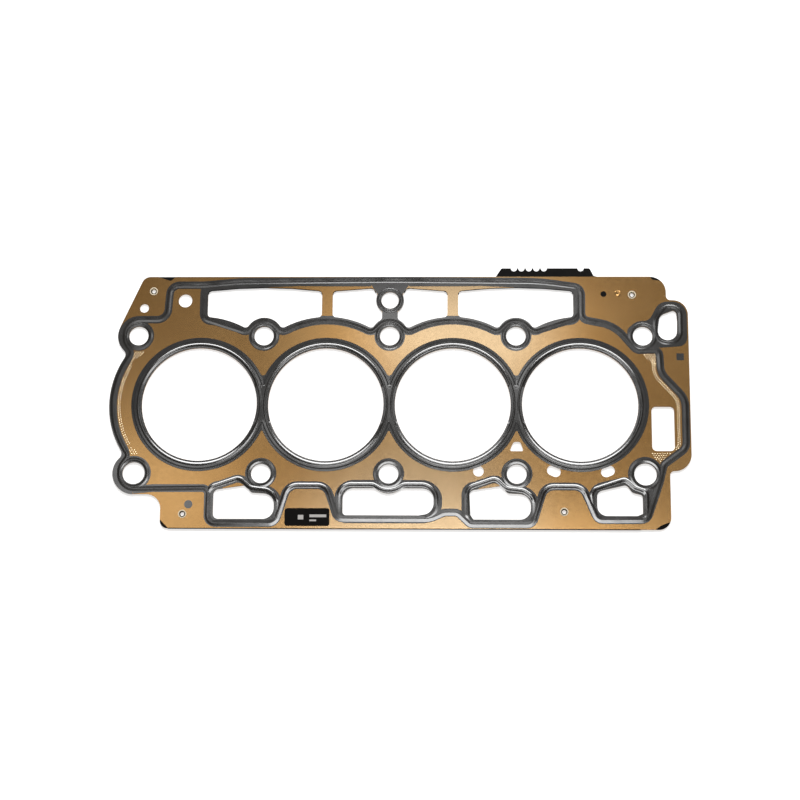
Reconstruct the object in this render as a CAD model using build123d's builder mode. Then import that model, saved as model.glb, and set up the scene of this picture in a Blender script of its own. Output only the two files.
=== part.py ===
from build123d import *
import os

os.makedirs("parts", exist_ok=True)

# All sizes are in millimetres. The origin lies on the line of the cylinder centres, midway
# between cylinders 2 and 3, and the underside lies on z = 0. +X runs along the cylinder row,
# +Y points to the side with the long upper passages, +Z points to the cylinder head.

# Cylinders
cylinder_pitch = 84.0
fire_opening_radius = 38.3
fire_ring_width = 6.8

# Head bolts and locating dowels, two rows of five
bolt_row_offset = 46.6
bolt_hole_radius = 6.5
dowel_hole_radius = 7.35
bolt_ring_width = 3.8

# Sheet stack
active_sheet_thickness = 0.25
spacer_thickness = 0.95
band_height = 0.1
band_width = 5.2
label_thickness = 0.04

# Outline of the sheets, measured from the bolt rows, the end bolts and each other
upper_flange = 41.0
lower_flange = 36.5
step_inset = 18.5
step_drop = 13.9
shoulder_reach = 16.0
bulge_reach = 14.3
bulge_top_drop = 16.3
bulge_foot_rise = 2.3
slanted_corner_inset = 2.6
end_land_width = 21.7
bolt_lobe_radius = 14.0
neck_fillet = 4.0

# Upper passages: two short inner windows and two long outer ones
upper_rail_width = 7.5
upper_passage_bow = 2.4
upper_passage_inset = 45.7
upper_passage_web = 7.1
passage_bore_clearance = 21.5
passage_bolt_clearance = 6.1
passage_corner = 2.6
centre_hole_rise = 24.7
centre_hole_radius = 5.8
centre_ring_width = 3.5
centre_neck_width = 10.4
centre_gusset_width = 24.8

# Lower passages
lower_rail_width = 6.3
deep_rail_width = 8.9
passage_left_reach = 30.9
passage_right_reach = 9.1
centre_passage_half_length = 29.95

# Slots at the right end
end_slot_length = 29.8
end_slot_width = 14.9
end_slot_edge_land = 10.7
end_slot_drop = 16.2

# Elastomer bands round the passages
coat_margin = 5.3
bare_web_clearance = 0.7
top_band_width = 5.6
arch_width = 22.0
arch_depth = 15.5

# Beads embossed in the top sheet, which raise the elastomer on them
fire_bead_offset = 3.0
fire_bead_foot_width = 2.6
fire_bead_crest_width = 0.8
fire_bead_height = 0.24
edge_bead_width = 1.2
edge_bead_height = 0.13

# Thickness identification tab
tab_height = 5.9
tab_inset = 13.0
tab_length = 68.5
notch_count = 5
notch_pitch = 5.0
first_notch_reach = 11.9
variant_notch_reach = 56.5
notch_radius = 2.1

# Rivets
rivet_bore_radius = 1.35
rivet_shank_radius = 1.75
rivet_flange_radius = 2.7
rivet_flange_thickness = 0.15
rivet_hole_clearance = 0.05

# Marks on the top sheet
window_radius = 1.95
dimple_radius = 2.2
dimple_depth = 0.15
disc_radius = 2.75
square_size = (4.9, 4.7)
label_length = 29.4
label_height = 11.8

# Heights of the stack
bottom_sheet_z = band_height
spacer_z = bottom_sheet_z + active_sheet_thickness
top_sheet_z = spacer_z + spacer_thickness
top_face_z = top_sheet_z + active_sheet_thickness
print_top_z = top_face_z + band_height
rivet_foot = 0.02
rivet_head = top_face_z + rivet_flange_thickness

# Edges and centre lines that several layers share
end_bolt_x = 2 * cylinder_pitch
top_edge = bolt_row_offset + upper_flange
bottom_edge = -bolt_row_offset - lower_flange
left_step_x = -end_bolt_x + step_inset
left_step_y = -bolt_row_offset - step_drop
right_shoulder_x = end_bolt_x + shoulder_reach
right_end_x = right_shoulder_x + bulge_reach
right_bulge_top = top_edge - bulge_top_drop
right_bulge_bottom = -bolt_row_offset + bulge_foot_rise
end_arc_radius = fire_opening_radius + end_land_width
upper_passage_top = top_edge - upper_rail_width
upper_passage_side_top = upper_passage_top - upper_passage_bow
upper_passage_outer_x = end_bolt_x - upper_passage_inset
upper_passage_foot_y = bolt_row_offset + 3.4
passage_arch_radius = fire_opening_radius + passage_bore_clearance
bare_web_foot_y = passage_arch_radius + bare_web_clearance
bare_rail_y = top_edge - top_band_width
centre_hole_y = bolt_row_offset + centre_hole_rise
centre_ring_radius = centre_hole_radius + centre_ring_width
centre_gusset_foot = (0.9 * centre_ring_radius, centre_hole_y + 4.2)
centre_gusset_top_x = centre_gusset_width / 2
lower_passage_floor = bottom_edge + lower_rail_width
deep_passage_floor = bottom_edge + deep_rail_width
fire_bead_radius = fire_opening_radius + fire_bead_offset
tab_left = cylinder_pitch - tab_inset
tab_right = tab_left + tab_length
first_notch_x = tab_left + first_notch_reach
variant_notch_x = tab_left + variant_notch_reach

# Places that several layers share
bore_places = [((i - 1.5) * cylinder_pitch, 0) for i in range(4)]
upper_bolt_places = [((i - 2) * cylinder_pitch, bolt_row_offset) for i in range(5)]
lower_bolt_places = [((i - 1) * cylinder_pitch, -bolt_row_offset) for i in range(3)]
dowel_places = [(-end_bolt_x, -bolt_row_offset), (end_bolt_x, -bolt_row_offset)]
bridge_hole_place = (cylinder_pitch, -bolt_row_offset + 18.0)
small_coolant_places = [
    (cylinder_pitch - 25.1, -bolt_row_offset + 1.8),
    (cylinder_pitch + 24.2, -bolt_row_offset + 1.9),
    (end_bolt_x - 24.5, -bolt_row_offset + 1.8),
    bridge_hole_place,
]
small_coolant_radius = 4.7
oil_hole_place = (-end_bolt_x + 30.5, bolt_row_offset + 24.4)
oil_hole_radius = 4.6
sensor_hole_place = (-end_bolt_x + 3.0, bolt_row_offset + 19.2)
sensor_hole_radius = 3.05
rivet_places = {
    "upper_left": (-end_bolt_x + 9.0, top_edge - 10.1),
    "upper_right": (end_bolt_x - 6.6, top_edge - 12.6),
    "lower_left": (left_step_x + 14.6, bottom_edge + 9.4),
    "lower_right": (1.5 * cylinder_pitch - 11.3, bottom_edge + 11.5),
}
window_place = (end_bolt_x - 25.5, top_edge - 12.1)
dimple_place = (end_bolt_x - 16.0, top_edge - 11.6)
disc_place = (left_step_x + 18.4, bottom_edge + 15.8)
square_place = (right_end_x - 5.9, bolt_row_offset - 14.2)
label_place = (-0.5 * cylinder_pitch - 11.05, bottom_edge + 7.6)


def rounded_loop(corners, rounding=1, kept=None):
    """Closed outline through corners (x, y, radius); rounding 0 sharpens all but one."""
    radii = [radius if i == kept else radius * rounding
             for i, (x, y, radius) in enumerate(corners)]
    with BuildSketch() as loop:
        with BuildLine():
            FilletPolyline(
                *[(x, y) for x, y, radius in corners],
                radius=radii,
                close=True,
            )
        make_face()
    return loop.sketch


def band(corners, width):
    """Strip of one width along an open path of corners given as (x, y, radius)."""
    with BuildSketch() as strip:
        with BuildLine() as path:
            FilletPolyline(
                *[(x, y) for x, y, radius in corners],
                radius=[radius for x, y, radius in corners[1:-1]],
            )
        trace(path.line, width)
    return strip.sketch


def upper_windows():
    """Long windows above the bores, cut back from the bores, the bolts and the centre ring."""
    inner_web_x = cylinder_pitch / 2 - upper_passage_web / 2
    outer_web_x = cylinder_pitch / 2 + upper_passage_web / 2
    window_foot = upper_passage_foot_y
    with BuildSketch() as windows:
        with BuildLine():
            Polyline((outer_web_x, upper_passage_side_top), (outer_web_x, window_foot),
                     (upper_passage_outer_x, window_foot),
                     (upper_passage_outer_x, upper_passage_side_top))
            ThreePointArc((upper_passage_outer_x, upper_passage_side_top),
                          (cylinder_pitch, upper_passage_top),
                          (outer_web_x, upper_passage_side_top))
        make_face()
        with BuildLine():
            Polyline((inner_web_x, upper_passage_side_top), (inner_web_x, window_foot),
                     (0, window_foot), (0, upper_passage_top + 0.6),
                     (inner_web_x, upper_passage_side_top))
        make_face()
        with Locations(bore_places[2], bore_places[3]):
            Circle(fire_opening_radius + passage_bore_clearance, mode=Mode.SUBTRACT)
        with Locations(upper_bolt_places[2], upper_bolt_places[3]):
            Circle(bolt_hole_radius + passage_bolt_clearance, mode=Mode.SUBTRACT)
        with Locations((0, centre_hole_y)):
            Circle(centre_ring_radius, mode=Mode.SUBTRACT)
        with Locations((0, (bolt_row_offset + centre_hole_y) / 2)):
            Rectangle(centre_neck_width, centre_hole_y - bolt_row_offset, mode=Mode.SUBTRACT)
        with BuildLine():
            Polyline((0, centre_hole_y), centre_gusset_foot,
                     (centre_gusset_top_x, upper_passage_top + 1),
                     (0, upper_passage_top + 1), (0, centre_hole_y))
        make_face(mode=Mode.SUBTRACT)
    return windows.sketch


def passage_beside_bolt(bolt_x, rounding=1):
    """Oil passage left of and below a lower head bolt, with a round nose at its right."""
    edge = -bolt_row_offset
    return rounded_loop(
        [
            (bolt_x - passage_left_reach, lower_passage_floor, 3.5),
            (bolt_x - passage_left_reach, edge - 10.9, 3.5),
            (bolt_x - 9.6, edge - 7.8, 2.0),
            (bolt_x - 6.3, edge - 12.7, 3.5),
            (bolt_x + passage_right_reach, edge - 13.6, 7.4),
            (bolt_x + passage_right_reach, lower_passage_floor, 7.4),
        ],
        rounding,
        kept=3,
    )


def centre_passage(rounding=1):
    """Wide oil passage under the middle lower bolt, bowed in round the bolt."""
    half_length = centre_passage_half_length
    ceiling = -bolt_row_offset - 9.5
    with BuildSketch() as window:
        add(
            rounded_loop(
                [
                    (-half_length, ceiling, 7.0),
                    (-half_length, deep_passage_floor, 2.5),
                    (half_length, deep_passage_floor, 8.0),
                    (half_length, ceiling, 8.0),
                ],
                rounding,
            )
        )
        with Locations(lower_bolt_places[1]):
            Circle(bolt_hole_radius + passage_bolt_clearance + 0.4, mode=Mode.SUBTRACT)
    return window.sketch


def passage_by_dowel(rounding=1):
    """Short oil passage between the last lower bolt and the right dowel."""
    edge = -bolt_row_offset
    return rounded_loop(
        [
            (end_bolt_x - 31.8, deep_passage_floor, 6.5),
            (end_bolt_x - 31.8, edge - 11.5, 4.5),
            (end_bolt_x - 12.6, edge - 7.0, 2.5),
            (end_bolt_x - 8.8, edge - 12.1, 4.0),
            (end_bolt_x - 2.1, edge - 13.8, 2.0),
            (end_bolt_x - 2.1, deep_passage_floor, 2.5),
        ],
        rounding,
        kept=3,
    )


# Outline that all sheets share: a long plate, two bolt lobes and a round end
with BuildSketch() as sheet_outline:
    add(
        rounded_loop(
            [
                (-end_bolt_x + slanted_corner_inset, top_edge, 6.0),
                (-end_bolt_x - 0.907 * bolt_lobe_radius, bolt_row_offset + 0.443 * bolt_lobe_radius, 0),
                (-end_bolt_x, bolt_row_offset, 0),
                (-end_bolt_x, left_step_y, 0),
                (left_step_x, left_step_y, 9.8),
                (left_step_x, bottom_edge, 5.0),
                (right_shoulder_x, bottom_edge, 8.0),
                (right_shoulder_x, right_bulge_bottom, 3.0),
                (right_end_x, right_bulge_bottom, 11.0),
                (right_end_x, right_bulge_top, 10.0),
                (right_shoulder_x, right_bulge_top, 3.0),
                (right_shoulder_x, top_edge, 10.5),
            ]
        )
    )
    with Locations(bore_places[0]):
        Circle(end_arc_radius)
    with Locations((-end_bolt_x, bolt_row_offset), (-end_bolt_x, -bolt_row_offset)):
        Circle(bolt_lobe_radius)
    neck_corners = sheet_outline.vertices().filter_by(
        lambda corner: abs(corner.Y) < bolt_row_offset and corner.X < -end_bolt_x
    )
    fillet(neck_corners, neck_fillet)

# Upper and lower passages of the top sheet, with rounded corners
with BuildSketch() as upper_passages:
    add(upper_windows())
    offset(amount=-passage_corner)
    offset(amount=passage_corner)
    mirror(about=Plane.YZ)
with BuildSketch() as lower_passages:
    add(passage_beside_bolt(-cylinder_pitch))
    add(passage_beside_bolt(cylinder_pitch))
    add(centre_passage())
    add(passage_by_dowel())

# Passages at the right end: a straight slot and a teardrop slot
with BuildSketch() as teardrop_slot:
    with Locations((right_shoulder_x + 0.5, right_bulge_top - 21.1)):
        Circle(6.4)
    with Locations((right_shoulder_x + 1.0, right_bulge_top - 14.9)):
        Circle(6.1)
    with Locations((right_shoulder_x + 4.3, right_bulge_top - 9.7)):
        Circle(2.4)
    make_hull()
with BuildSketch() as end_passages:
    with Locations((right_end_x - end_slot_edge_land - end_slot_width / 2, -end_slot_drop)):
        RectangleRounded(end_slot_width, end_slot_length, 3.0)
    add(teardrop_slot.sketch)

# Round holes through every sheet
with BuildSketch() as round_holes:
    with Locations(bore_places):
        Circle(fire_opening_radius)
    with Locations(upper_bolt_places, lower_bolt_places):
        Circle(bolt_hole_radius)
    with Locations(dowel_places):
        Circle(dowel_hole_radius)
    with Locations((0, centre_hole_y)):
        Circle(centre_hole_radius)
    with Locations(oil_hole_place):
        Circle(oil_hole_radius)
    with Locations(sensor_hole_place):
        Circle(sensor_hole_radius)
    with Locations(list(rivet_places.values())):
        Circle(rivet_shank_radius + rivet_hole_clearance)

# Small coolant holes between the bores and the lower bolts
with BuildSketch() as coolant_holes:
    add(
        rounded_loop(
            [
                (bridge_hole_place[0] - 4.6, bridge_hole_place[1] - 2.8, 0.8),
                (bridge_hole_place[0] + 4.5, bridge_hole_place[1] - 2.8, 0.8),
                (bridge_hole_place[0] + 2.4, bridge_hole_place[1] + 3.4, 2.0),
                (bridge_hole_place[0] - 2.0, bridge_hole_place[1] + 3.4, 2.0),
            ]
        )
    )
    with Locations(small_coolant_places[0]):
        Circle(3.5)
    with Locations(Location((*small_coolant_places[1], 0), (0, 0, -25)),
                   Location((*small_coolant_places[2], 0), (0, 0, 22))):
        SlotOverall(9.2, 6.6)

# What is stamped out of the top sheet
with BuildSketch() as cut_outs:
    add(upper_passages.sketch)
    add(lower_passages.sketch)
    add(end_passages.sketch)
    add(round_holes.sketch)
    add(coolant_holes.sketch)

# What is stamped out of the spacer and the bottom sheet: plain windows with sharp corners,
# which stand outside the rounded corners of the top sheet
with BuildSketch() as inner_cut_outs:
    add(upper_windows())
    mirror(about=Plane.YZ)
    add(passage_beside_bolt(-cylinder_pitch, 0))
    add(passage_beside_bolt(cylinder_pitch, 0))
    add(centre_passage(0))
    add(passage_by_dowel(0))
    add(end_passages.sketch)
    add(round_holes.sketch)
    with Locations(small_coolant_places):
        Circle(small_coolant_radius)

# Elastomer print: bands along the outline, round each passage, bolt and bore
half_pitch = cylinder_pitch / 2
perimeter_path = [
    (-end_bolt_x, bolt_row_offset + 11.2, 0),
    (left_step_x + 0.3, bolt_row_offset + 11.2, 7.5),
    (left_step_x + 1.8, top_edge - 5.8, 6.5),
    (-upper_passage_outer_x - 2.7, top_edge - 5.8, 60.0),
    (-cylinder_pitch - 16.0, top_edge - 3.4, 150.0),
    (0, top_edge - 2.6, 1200.0),
    (cylinder_pitch + 16.0, top_edge - 3.4, 150.0),
    (upper_passage_outer_x + 5.5, top_edge - 7.6, 6.0),
    (upper_passage_outer_x + 5.3, bolt_row_offset + 11.5, 5.0),
    (end_bolt_x - 18.5, bolt_row_offset + 7.0, 25.0),
    (end_bolt_x - 4.4, bolt_row_offset - 9.8, 5.0),
    (end_bolt_x + 10.6, bolt_row_offset - 9.3, 4.0),
    (end_bolt_x + 11.4, bolt_row_offset - 25.3, 12.0),
    (right_end_x - 3.2, bolt_row_offset - 42.6, 14.0),
    (right_end_x - 3.3, right_bulge_bottom + 15.2, 8.0),
    (end_bolt_x + 12.0, right_bulge_bottom + 4.1, 4.0),
    (end_bolt_x + 9.2, -bolt_row_offset - 4.9, 30.0),
    (end_bolt_x + 0.4, bottom_edge + 6.4, 5.0),
    (end_bolt_x - 31.6, bottom_edge + 6.2, 5.0),
    (end_bolt_x - 41.2, -bolt_row_offset - 8.3, 8.5),
    (cylinder_pitch + 18.1, -bolt_row_offset - 8.2, 8.5),
    (cylinder_pitch + 10.1, bottom_edge + 3.1, 5.0),
    (cylinder_pitch - 30.4, bottom_edge + 3.1, 4.0),
    (half_pitch + 3.4, bottom_edge + 10.9, 5.5),
    (half_pitch - 5.5, bottom_edge + 10.9, 8.0),
    (half_pitch - 14.5, bottom_edge + 6.7, 15.0),
    (-half_pitch + 8.8, bottom_edge + 6.7, 5.0),
    (-half_pitch + 1.4, -bolt_row_offset - 7.8, 8.5),
    (-cylinder_pitch + 18.1, -bolt_row_offset - 7.8, 8.5),
    (-cylinder_pitch + 10.1, bottom_edge + 3.5, 6.0),
    (-cylinder_pitch - 34.2, bottom_edge + 3.5, 5.0),
    (-cylinder_pitch - 34.3, -bolt_row_offset - 9.9, 4.0),
    (-end_bolt_x + 13.0, -bolt_row_offset - 10.0, 20.0),
    (-end_bolt_x, -bolt_row_offset - 11.2, 0),
]
with BuildSketch() as upper_passage_bands:
    offset(upper_passages.sketch, amount=coat_margin, mode=Mode.ADD)
    with BuildLine():
        Polyline((-cylinder_pitch, bare_web_foot_y), (-cylinder_pitch, upper_passage_top),
                 (-half_pitch, bare_rail_y), (half_pitch, bare_rail_y),
                 (cylinder_pitch, upper_passage_top), (cylinder_pitch, bare_web_foot_y),
                 (-cylinder_pitch, bare_web_foot_y))
    make_face(mode=Mode.SUBTRACT)

with BuildSketch() as bore_arches:
    with Locations(bore_places[1], bore_places[2]):
        Circle(passage_arch_radius)
        Circle(passage_arch_radius - coat_margin, mode=Mode.SUBTRACT)
    with Locations((-half_pitch, bare_web_foot_y), (half_pitch, bare_web_foot_y)):
        Rectangle(arch_width, 2 * arch_depth, mode=Mode.INTERSECT)

with BuildSketch() as end_band:
    add(sheet_outline.sketch)
    offset(sheet_outline.sketch, amount=-band_width, mode=Mode.SUBTRACT)
    with Locations((-end_bolt_x, bolt_row_offset + 0.443 * bolt_lobe_radius)):
        Rectangle(100, 200, align=(Align.MAX, Align.MAX), mode=Mode.INTERSECT)

with BuildSketch() as lobe_band:
    with Locations((-end_bolt_x, bolt_row_offset)):
        Circle(11.2 + band_width / 2)
        Rectangle(50, 50, align=(Align.MAX, Align.MIN), mode=Mode.INTERSECT)

with BuildSketch() as bands:
    add(band(perimeter_path, band_width))
    offset(lower_passages.sketch, amount=coat_margin, mode=Mode.ADD)
    for bolt_x, bolt_y in (lower_bolt_places[0], lower_bolt_places[2]):
        with BuildLine():
            Polyline((bolt_x - 25.0, bolt_y - 8.5), (bolt_x - 14.2, bolt_y - 2.0),
                     (bolt_x - 9.8, bolt_y - 4.0), (bolt_x - 9.8, bolt_y - 12.0),
                     (bolt_x - 25.0, bolt_y - 12.0), (bolt_x - 25.0, bolt_y - 8.5))
        make_face(mode=Mode.SUBTRACT)
        add(
            band(
                [
                    (bolt_x - 31.5, bolt_y - 9.4, 0),
                    (bolt_x - 28.5, bolt_y - 8.1, 6.0),
                    (bolt_x - 14.2, bolt_y - 3.0, 7.0),
                    (bolt_x - 8.0, bolt_y - 6.4, 0),
                ],
                band_width,
            )
        )
    add(upper_passage_bands.sketch)
    add(bore_arches.sketch)
    add(end_band.sketch)
    add(lobe_band.sketch)
    with Locations(bore_places):
        Circle(fire_opening_radius + fire_ring_width)
    with Locations(upper_bolt_places, lower_bolt_places):
        Circle(bolt_hole_radius + bolt_ring_width)
    with Locations(dowel_places):
        Circle(dowel_hole_radius + bolt_ring_width + 0.4)
    with Locations((0, centre_hole_y)):
        Circle(centre_ring_radius)
    with Locations((0, centre_hole_y - 1.3)):
        Rectangle(centre_neck_width, 26.0)
    with BuildLine():
        Polyline((0, centre_hole_y), centre_gusset_foot,
                 (centre_gusset_top_x, upper_passage_top + 1.4),
                 (centre_gusset_top_x + 1.1, upper_passage_top + 3.9),
                 (-centre_gusset_top_x - 1.1, upper_passage_top + 3.9),
                 (-centre_gusset_top_x, upper_passage_top + 1.4),
                 (-centre_gusset_foot[0], centre_gusset_foot[1]), (0, centre_hole_y))
    make_face()
    with BuildLine():
        Polyline((end_bolt_x - 2.0, -bolt_row_offset - 8.4),
                 (end_bolt_x + 8.5, -bolt_row_offset - 3.4),
                 (end_bolt_x + 6.8, -bolt_row_offset - 11.4),
                 (end_bolt_x + 1.5, -bolt_row_offset - 23.4),
                 (end_bolt_x - 1.5, -bolt_row_offset - 19.4),
                 (end_bolt_x - 2.0, -bolt_row_offset - 8.4))
    make_face()
    add(
        rounded_loop(
            [
                (end_bolt_x - 10.2, bolt_row_offset - 6.6, 0),
                (end_bolt_x - 10.2, bolt_row_offset + 4.8, 4.0),
                (end_bolt_x - 4.0, bolt_row_offset + 10.0, 8.0),
                (end_bolt_x + 4.4, bolt_row_offset + 10.6, 6.0),
                (right_shoulder_x - 4.6, right_bulge_top - 1.1, 9.0),
                (right_end_x - 0.8, right_bulge_top - 0.8, 9.4),
                (right_end_x - 0.9, bolt_row_offset - 6.7, 6.0),
                (end_bolt_x + 12.0, bolt_row_offset - 8.0, 0),
            ]
        )
    )
    with Locations(disc_place):
        Circle(disc_radius)
    with Locations(square_place):
        Rectangle(*square_size)

# Core: the thick middle sheet, with the notched tab that shows its thickness class
with BuildPart() as core_layer:
    with BuildSketch(Plane.XY.offset(spacer_z)):
        add(sheet_outline.sketch)
        add(
            rounded_loop(
                [
                    (tab_left - 1, top_edge - 1, 0),
                    (tab_left + 3.6, top_edge + tab_height, 1.6),
                    (tab_right - 6.0, top_edge + tab_height, 1.6),
                    (tab_right - 3.4, top_edge + 0.6, 1.5),
                    (tab_right + 1, top_edge - 0.4, 0),
                ]
            )
        )
        notch_places = [(first_notch_x + i * notch_pitch, top_edge + tab_height)
                        for i in range(notch_count)]
        with Locations(notch_places, (variant_notch_x, top_edge + tab_height)):
            Circle(notch_radius, mode=Mode.SUBTRACT)
        add(inner_cut_outs.sketch, mode=Mode.SUBTRACT)
    extrude(amount=spacer_thickness)
core_layer.part.label = "core_layer"
export_step(core_layer.part, "parts/core_layer.step")

# Top sheet: spring steel with three cut-back corners, an edge notch, a window and a dimple
with BuildSketch() as top_outline:
    add(sheet_outline.sketch)
    with BuildLine():
        Polyline((-end_bolt_x + 11.6, top_edge + 1), (-end_bolt_x + 11.6, top_edge),
                 (-end_bolt_x + 20.1, top_edge - 2.9), (-end_bolt_x + 23.6, top_edge),
                 (-end_bolt_x + 23.6, top_edge + 1), (-end_bolt_x + 11.6, top_edge + 1))
    make_face(mode=Mode.SUBTRACT)
    with BuildLine():
        Polyline((right_shoulder_x - 10.5, top_edge + 1), (right_shoulder_x - 9.7, top_edge - 1.0),
                 (right_shoulder_x - 8.4, top_edge - 2.3), (right_shoulder_x + 2, top_edge - 3.4),
                 (right_shoulder_x + 2, top_edge + 1), (right_shoulder_x - 10.5, top_edge + 1))
    make_face(mode=Mode.SUBTRACT)
    with BuildLine():
        Polyline((left_step_x - 1, bottom_edge + 6.7), (left_step_x + 5.7, bottom_edge),
                 (left_step_x - 1, bottom_edge - 1), (left_step_x - 1, bottom_edge + 6.7))
    make_face(mode=Mode.SUBTRACT)
    with BuildLine():
        Polyline((right_shoulder_x - 10.6, bottom_edge), (right_shoulder_x - 6.4, bottom_edge + 2.9),
                 (right_shoulder_x + 0.6, bottom_edge + 5.5),
                 (right_shoulder_x + 0.6, bottom_edge - 1), (right_shoulder_x - 10.6, bottom_edge))
    make_face(mode=Mode.SUBTRACT)
    add(cut_outs.sketch, mode=Mode.SUBTRACT)
with BuildPart() as upper_layer:
    with BuildSketch(Plane.XY.offset(top_sheet_z)):
        add(top_outline.sketch)
        with Locations(window_place):
            Circle(window_radius, mode=Mode.SUBTRACT)
    extrude(amount=active_sheet_thickness)
    with BuildSketch(Plane.XY.offset(top_face_z)):
        with Locations(dimple_place):
            Circle(dimple_radius)
    extrude(amount=-dimple_depth, taper=55, mode=Mode.SUBTRACT)
upper_layer.part.label = "upper_layer"
export_step(upper_layer.part, "parts/upper_layer.step")

# Elastomer on the head side: one network of bands with two inspection marks, raised by a
# steep bead round each bore and a low one along the outer band
with BuildPart() as top_sealing_print:
    with BuildSketch(Plane.XY.offset(top_face_z)):
        add(bands.sketch)
        add(top_outline.sketch, mode=Mode.INTERSECT)
    extrude(amount=band_height)
    with BuildSketch(Plane.XY.offset(print_top_z)):
        add(band(perimeter_path, edge_bead_width))
    extrude(amount=edge_bead_height)
    for bore_x, bore_y in bore_places:
        bead_foot = fire_bead_foot_width / 2
        bead_crest = fire_bead_crest_width / 2
        with BuildSketch(Plane((bore_x, bore_y, 0), (1, 0, 0), (0, -1, 0))):
            with BuildLine():
                Polyline(
                    (fire_bead_radius - bead_foot, top_face_z),
                    (fire_bead_radius - bead_foot, print_top_z),
                    (fire_bead_radius - bead_crest, print_top_z + fire_bead_height),
                    (fire_bead_radius + bead_crest, print_top_z + fire_bead_height),
                    (fire_bead_radius + bead_foot, print_top_z),
                    (fire_bead_radius + bead_foot, top_face_z),
                    (fire_bead_radius - bead_foot, top_face_z),
                )
            make_face()
        revolve(axis=Axis((bore_x, bore_y, 0), (0, 0, 1)))
top_sealing_print.part.label = "top_sealing_print"
export_step(top_sealing_print.part, "parts/top_sealing_print.step")

# Bottom sheet: spring steel under the spacer, which rests on a raised land round each bore
with BuildPart() as lower_layer:
    with BuildSketch(Plane.XY.offset(bottom_sheet_z)):
        add(sheet_outline.sketch)
        add(inner_cut_outs.sketch, mode=Mode.SUBTRACT)
    extrude(amount=active_sheet_thickness)
    with BuildSketch(Plane.XY.offset(bottom_sheet_z)):
        with Locations(bore_places):
            Circle(fire_opening_radius + fire_ring_width)
        with Locations(bore_places):
            Circle(fire_opening_radius, mode=Mode.SUBTRACT)
    extrude(amount=-band_height)
lower_layer.part.label = "lower_layer"
export_step(lower_layer.part, "parts/lower_layer.step")

# Hollow rivets that hold the sheets together
for corner, (rivet_x, rivet_y) in rivet_places.items():
    with BuildPart() as rivet:
        with BuildSketch(Plane((rivet_x, rivet_y, 0), (1, 0, 0), (0, -1, 0))):
            with BuildLine():
                Polyline(
                    (rivet_bore_radius, rivet_foot),
                    (rivet_flange_radius, bottom_sheet_z),
                    (rivet_shank_radius, bottom_sheet_z),
                    (rivet_shank_radius, top_face_z),
                    (rivet_flange_radius, top_face_z),
                    (rivet_bore_radius, rivet_head),
                    (rivet_bore_radius, rivet_foot),
                )
            make_face()
        revolve(axis=Axis((rivet_x, rivet_y, 0), (0, 0, 1)))
    rivet.part.label = f"rivet_{corner}"
    export_step(rivet.part, f"parts/rivet_{corner}.step")

# Printed patch between two lower passages
with BuildPart() as label_patch:
    with BuildSketch(Plane.XY.offset(top_face_z)):
        with Locations(label_place):
            RectangleRounded(label_length, label_height, 1.8)
    extrude(amount=label_thickness)
label_patch.part.label = "label_patch"
export_step(label_patch.part, "parts/label_patch.step")
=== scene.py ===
import bmesh
import bpy
import math
from mathutils import Matrix, Vector


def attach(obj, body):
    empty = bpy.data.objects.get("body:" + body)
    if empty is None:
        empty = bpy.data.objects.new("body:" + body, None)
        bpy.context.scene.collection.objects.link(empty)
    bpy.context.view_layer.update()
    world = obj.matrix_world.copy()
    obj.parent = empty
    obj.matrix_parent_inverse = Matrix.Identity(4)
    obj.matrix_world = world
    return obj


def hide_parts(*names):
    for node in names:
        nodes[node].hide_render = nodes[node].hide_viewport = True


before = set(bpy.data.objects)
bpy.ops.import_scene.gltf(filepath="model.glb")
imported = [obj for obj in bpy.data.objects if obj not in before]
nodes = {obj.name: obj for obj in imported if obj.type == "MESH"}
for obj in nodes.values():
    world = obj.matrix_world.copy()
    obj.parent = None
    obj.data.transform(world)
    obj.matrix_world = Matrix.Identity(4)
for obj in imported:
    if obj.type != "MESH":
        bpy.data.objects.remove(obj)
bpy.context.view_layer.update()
mm = 0.001


def srgb(code, alpha=1.0):
    channels = [int(code[i:i + 2], 16) / 255 for i in (1, 3, 5)]
    linear = [c / 12.92 if c <= 0.04045 else ((c + 0.055) / 1.055) ** 2.4 for c in channels]
    return (*linear, alpha)


def addNode(tree, kind, inputs=None, **settings):
    node = tree.nodes.new(kind)
    for key, value in settings.items():
        setattr(node, key, value)
    for key, value in (inputs or {}).items():
        if isinstance(value, bpy.types.NodeSocket):
            tree.links.new(value, node.inputs[key])
        else:
            node.inputs[key].default_value = value
    return node


def newMaterial(name):
    material = bpy.data.materials.new(name)
    material.use_nodes = True
    tree = material.node_tree
    tree.nodes.clear()
    output = tree.nodes.new("ShaderNodeOutputMaterial")
    place = addNode(tree, "ShaderNodeTexCoord").outputs["Object"]
    return material, tree, output, place


def ramp(tree, source, stops):
    node = addNode(tree, "ShaderNodeValToRGB", {"Fac": source})
    first, last = stops[0], stops[-1]
    node.color_ramp.elements[0].position, node.color_ramp.elements[0].color = first
    node.color_ramp.elements[1].position, node.color_ramp.elements[1].color = last
    for position, colour in stops[1:-1]:
        node.color_ramp.elements.new(position).color = colour
    return node


def grey(value):
    return (value, value, value, 1.0)


tint = {
    "dark": "#C0935A",  # the deeper of two tones that random clouds mix; where the painted highlight does not reach, as in the corners, the sheet shows only these two
    "pale": "#CDA26A",
    "paintedHighlight": "#E3C79F",  # painted highlight, mixed in towards the middle of the sheet
    "highlightSpots": [  # painted highlight spots: centre, inner and outer reach
        ((0.02, -0.1, 0.0), 0.03, 0.11), ((0.05, 0.05, 0.0), 0.02, 0.09),
    ],
    "highlightShare": 0.8,
    "cloudScale": 14.0,
    "grainScale": 420.0,
    "roughness": 0.17,
}


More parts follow.
